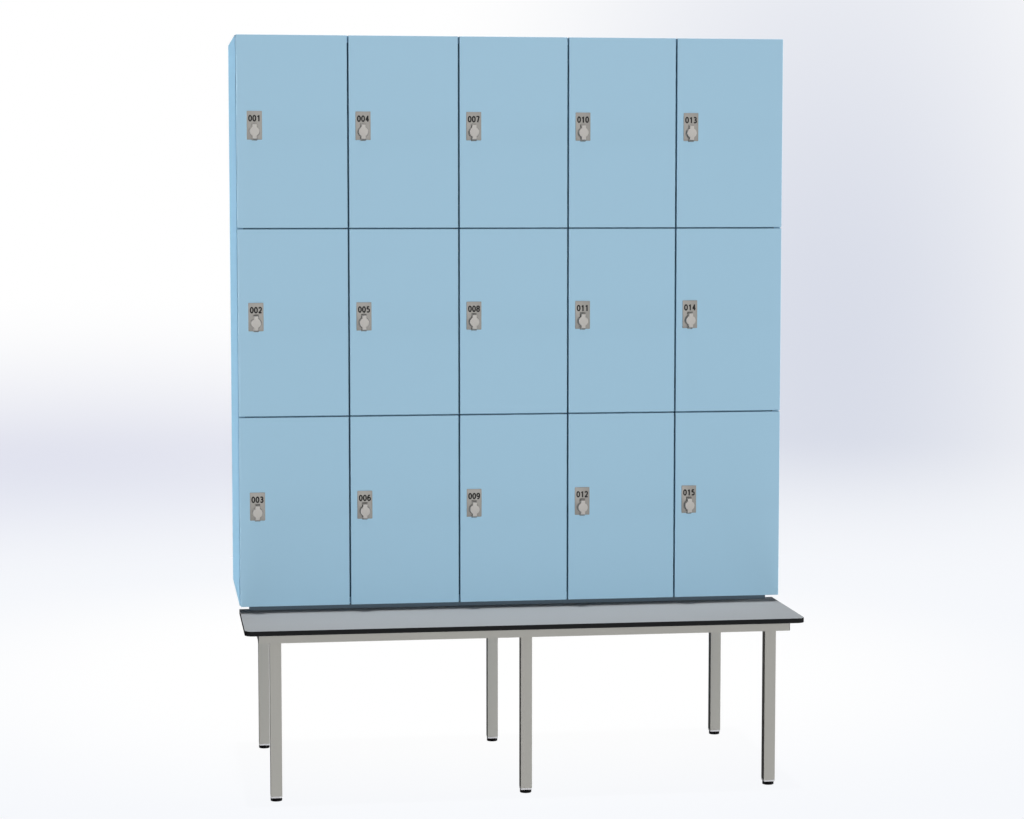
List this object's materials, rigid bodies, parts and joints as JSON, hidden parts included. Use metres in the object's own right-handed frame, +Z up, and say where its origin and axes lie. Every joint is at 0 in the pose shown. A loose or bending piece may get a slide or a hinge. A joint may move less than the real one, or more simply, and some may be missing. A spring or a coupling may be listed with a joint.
{
  "type": "locker with bench",
  "caption": "Laminate-door personal lockers in columns and tiers on a square-tube bench frame with a seat board in front; each door swings and each cam lock turns.",
  "frame": {"origin": "on the floor, under the middle of the whole piece in width and depth", "axes": "+Z up, the doors and the seat face -Y, +X to the right of someone who faces the doors"},
  "size_m": [1.5, 0.811, 2.023],
  "materials": {
    "door_laminate": "light blue melamine laminate, satin",
    "carcass_laminate": "light blue melamine laminate, satin",
    "back_laminate": "light blue melamine laminate, matt",
    "plinth_board": "dark blue-grey melamine laminate, matt",
    "seat_laminate": "compact laminate, grey faces on a black core",
    "frame_paint": "warm grey powder coat on square steel tube",
    "hinge_steel": "zinc plated",
    "lock_metal": "satin nickel",
    "foot_plastic": "black moulded plastic"
  },
  "bodies": {
    "locker": {"side_left": "carcass_laminate", "side_right": "carcass_laminate", "bottom_panel": "carcass_laminate", "top_panel": "carcass_laminate", "back_panel": "back_laminate", "partition_1": "carcass_laminate", "partition_2": "carcass_laminate", "partition_3": "carcass_laminate", "partition_4": "carcass_laminate", "shelf_1": "carcass_laminate", "shelf_2": "carcass_laminate", "hinge_strip_1": "hinge_steel", "hinge_strip_2": "hinge_steel", "hinge_strip_3": "hinge_steel", "hinge_strip_4": "hinge_steel", "hinge_strip_5": "hinge_steel", "plinth_front": "plinth_board", "plinth_rear": "plinth_board", "seat_board": "seat_laminate", "front_rail": "frame_paint", "rear_rail": "frame_paint", "leg_frame_left": "frame_paint", "leg_frame_middle": "frame_paint", "leg_frame_right": "frame_paint", "foot_front_left": "foot_plastic", "foot_rear_left": "foot_plastic", "foot_front_middle": "foot_plastic", "foot_rear_middle": "foot_plastic", "foot_front_right": "foot_plastic", "foot_rear_right": "foot_plastic"},
    "door_01": {"door_01": "door_laminate"},
    "lock_knob_01": {"lock_knob_01": "lock_metal"},
    "door_02": {"door_02": "door_laminate"},
    "lock_knob_02": {"lock_knob_02": "lock_metal"},
    "door_03": {"door_03": "door_laminate"},
    "lock_knob_03": {"lock_knob_03": "lock_metal"},
    "door_04": {"door_04": "door_laminate"},
    "lock_knob_04": {"lock_knob_04": "lock_metal"},
    "door_05": {"door_05": "door_laminate"},
    "lock_knob_05": {"lock_knob_05": "lock_metal"},
    "door_06": {"door_06": "door_laminate"},
    "lock_knob_06": {"lock_knob_06": "lock_metal"},
    "door_07": {"door_07": "door_laminate"},
    "lock_knob_07": {"lock_knob_07": "lock_metal"},
    "door_08": {"door_08": "door_laminate"},
    "lock_knob_08": {"lock_knob_08": "lock_metal"},
    "door_09": {"door_09": "door_laminate"},
    "lock_knob_09": {"lock_knob_09": "lock_metal"},
    "door_10": {"door_10": "door_laminate"},
    "lock_knob_10": {"lock_knob_10": "lock_metal"},
    "door_11": {"door_11": "door_laminate"},
    "lock_knob_11": {"lock_knob_11": "lock_metal"},
    "door_12": {"door_12": "door_laminate"},
    "lock_knob_12": {"lock_knob_12": "lock_metal"},
    "door_13": {"door_13": "door_laminate"},
    "lock_knob_13": {"lock_knob_13": "lock_metal"},
    "door_14": {"door_14": "door_laminate"},
    "lock_knob_14": {"lock_knob_14": "lock_metal"},
    "door_15": {"door_15": "door_laminate"},
    "lock_knob_15": {"lock_knob_15": "lock_metal"}
  },
  "joints": [
    {"name": "door_01_hinge", "type": "hinge", "parent": "locker", "child": "door_01", "pos_m": [-0.4608, -0.1035, 1.76578], "axis": [0, 0, 1], "range_deg": [0, 95]},
    {"name": "door_02_hinge", "type": "hinge", "parent": "locker", "child": "door_02", "pos_m": [-0.4608, -0.1035, 1.253], "axis": [0, 0, 1], "range_deg": [0, 95]},
    {"name": "door_03_hinge", "type": "hinge", "parent": "locker", "child": "door_03", "pos_m": [-0.4608, -0.1035, 0.74022], "axis": [0, 0, 1], "range_deg": [0, 95]},
    {"name": "door_04_hinge", "type": "hinge", "parent": "locker", "child": "door_04", "pos_m": [-0.1608, -0.1035, 1.76578], "axis": [0, 0, 1], "range_deg": [0, 95]},
    {"name": "door_05_hinge", "type": "hinge", "parent": "locker", "child": "door_05", "pos_m": [-0.1608, -0.1035, 1.253], "axis": [0, 0, 1], "range_deg": [0, 95]},
    {"name": "door_06_hinge", "type": "hinge", "parent": "locker", "child": "door_06", "pos_m": [-0.1608, -0.1035, 0.74022], "axis": [0, 0, 1], "range_deg": [0, 95]},
    {"name": "door_07_hinge", "type": "hinge", "parent": "locker", "child": "door_07", "pos_m": [0.1392, -0.1035, 1.76578], "axis": [0, 0, 1], "range_deg": [0, 95]},
    {"name": "door_08_hinge", "type": "hinge", "parent": "locker", "child": "door_08", "pos_m": [0.1392, -0.1035, 1.253], "axis": [0, 0, 1], "range_deg": [0, 95]},
    {"name": "door_09_hinge", "type": "hinge", "parent": "locker", "child": "door_09", "pos_m": [0.1392, -0.1035, 0.74022], "axis": [0, 0, 1], "range_deg": [0, 95]},
    {"name": "door_10_hinge", "type": "hinge", "parent": "locker", "child": "door_10", "pos_m": [0.4392, -0.1035, 1.76578], "axis": [0, 0, 1], "range_deg": [0, 95]},
    {"name": "door_11_hinge", "type": "hinge", "parent": "locker", "child": "door_11", "pos_m": [0.4392, -0.1035, 1.253], "axis": [0, 0, 1], "range_deg": [0, 95]},
    {"name": "door_12_hinge", "type": "hinge", "parent": "locker", "child": "door_12", "pos_m": [0.4392, -0.1035, 0.74022], "axis": [0, 0, 1], "range_deg": [0, 95]},
    {"name": "door_13_hinge", "type": "hinge", "parent": "locker", "child": "door_13", "pos_m": [0.7392, -0.1035, 1.76578], "axis": [0, 0, 1], "range_deg": [0, 95]},
    {"name": "door_14_hinge", "type": "hinge", "parent": "locker", "child": "door_14", "pos_m": [0.7392, -0.1035, 1.253], "axis": [0, 0, 1], "range_deg": [0, 95]},
    {"name": "door_15_hinge", "type": "hinge", "parent": "locker", "child": "door_15", "pos_m": [0.7392, -0.1035, 0.74022], "axis": [0, 0, 1], "range_deg": [0, 95]},
    {"name": "lock_knob_01_turn", "type": "hinge", "parent": "door_01", "child": "lock_knob_01", "pos_m": [-0.7005, -0.1125, 1.76578], "axis": [0, 1, 0], "range_deg": [0, 90]},
    {"name": "lock_knob_02_turn", "type": "hinge", "parent": "door_02", "child": "lock_knob_02", "pos_m": [-0.7005, -0.1125, 1.253], "axis": [0, 1, 0], "range_deg": [0, 90]},
    {"name": "lock_knob_03_turn", "type": "hinge", "parent": "door_03", "child": "lock_knob_03", "pos_m": [-0.7005, -0.1125, 0.74022], "axis": [0, 1, 0], "range_deg": [0, 90]},
    {"name": "lock_knob_04_turn", "type": "hinge", "parent": "door_04", "child": "lock_knob_04", "pos_m": [-0.4095, -0.1125, 1.76578], "axis": [0, 1, 0], "range_deg": [0, 90]},
    {"name": "lock_knob_05_turn", "type": "hinge", "parent": "door_05", "child": "lock_knob_05", "pos_m": [-0.4095, -0.1125, 1.253], "axis": [0, 1, 0], "range_deg": [0, 90]},
    {"name": "lock_knob_06_turn", "type": "hinge", "parent": "door_06", "child": "lock_knob_06", "pos_m": [-0.4095, -0.1125, 0.74022], "axis": [0, 1, 0], "range_deg": [0, 90]},
    {"name": "lock_knob_07_turn", "type": "hinge", "parent": "door_07", "child": "lock_knob_07", "pos_m": [-0.1095, -0.1125, 1.76578], "axis": [0, 1, 0], "range_deg": [0, 90]},
    {"name": "lock_knob_08_turn", "type": "hinge", "parent": "door_08", "child": "lock_knob_08", "pos_m": [-0.1095, -0.1125, 1.253], "axis": [0, 1, 0], "range_deg": [0, 90]},
    {"name": "lock_knob_09_turn", "type": "hinge", "parent": "door_09", "child": "lock_knob_09", "pos_m": [-0.1095, -0.1125, 0.74022], "axis": [0, 1, 0], "range_deg": [0, 90]},
    {"name": "lock_knob_10_turn", "type": "hinge", "parent": "door_10", "child": "lock_knob_10", "pos_m": [0.1905, -0.1125, 1.76578], "axis": [0, 1, 0], "range_deg": [0, 90]},
    {"name": "lock_knob_11_turn", "type": "hinge", "parent": "door_11", "child": "lock_knob_11", "pos_m": [0.1905, -0.1125, 1.253], "axis": [0, 1, 0], "range_deg": [0, 90]},
    {"name": "lock_knob_12_turn", "type": "hinge", "parent": "door_12", "child": "lock_knob_12", "pos_m": [0.1905, -0.1125, 0.74022], "axis": [0, 1, 0], "range_deg": [0, 90]},
    {"name": "lock_knob_13_turn", "type": "hinge", "parent": "door_13", "child": "lock_knob_13", "pos_m": [0.4905, -0.1125, 1.76578], "axis": [0, 1, 0], "range_deg": [0, 90]},
    {"name": "lock_knob_14_turn", "type": "hinge", "parent": "door_14", "child": "lock_knob_14", "pos_m": [0.4905, -0.1125, 1.253], "axis": [0, 1, 0], "range_deg": [0, 90]},
    {"name": "lock_knob_15_turn", "type": "hinge", "parent": "door_15", "child": "lock_knob_15", "pos_m": [0.4905, -0.1125, 0.74022], "axis": [0, 1, 0], "range_deg": [0, 90]}
  ]
}
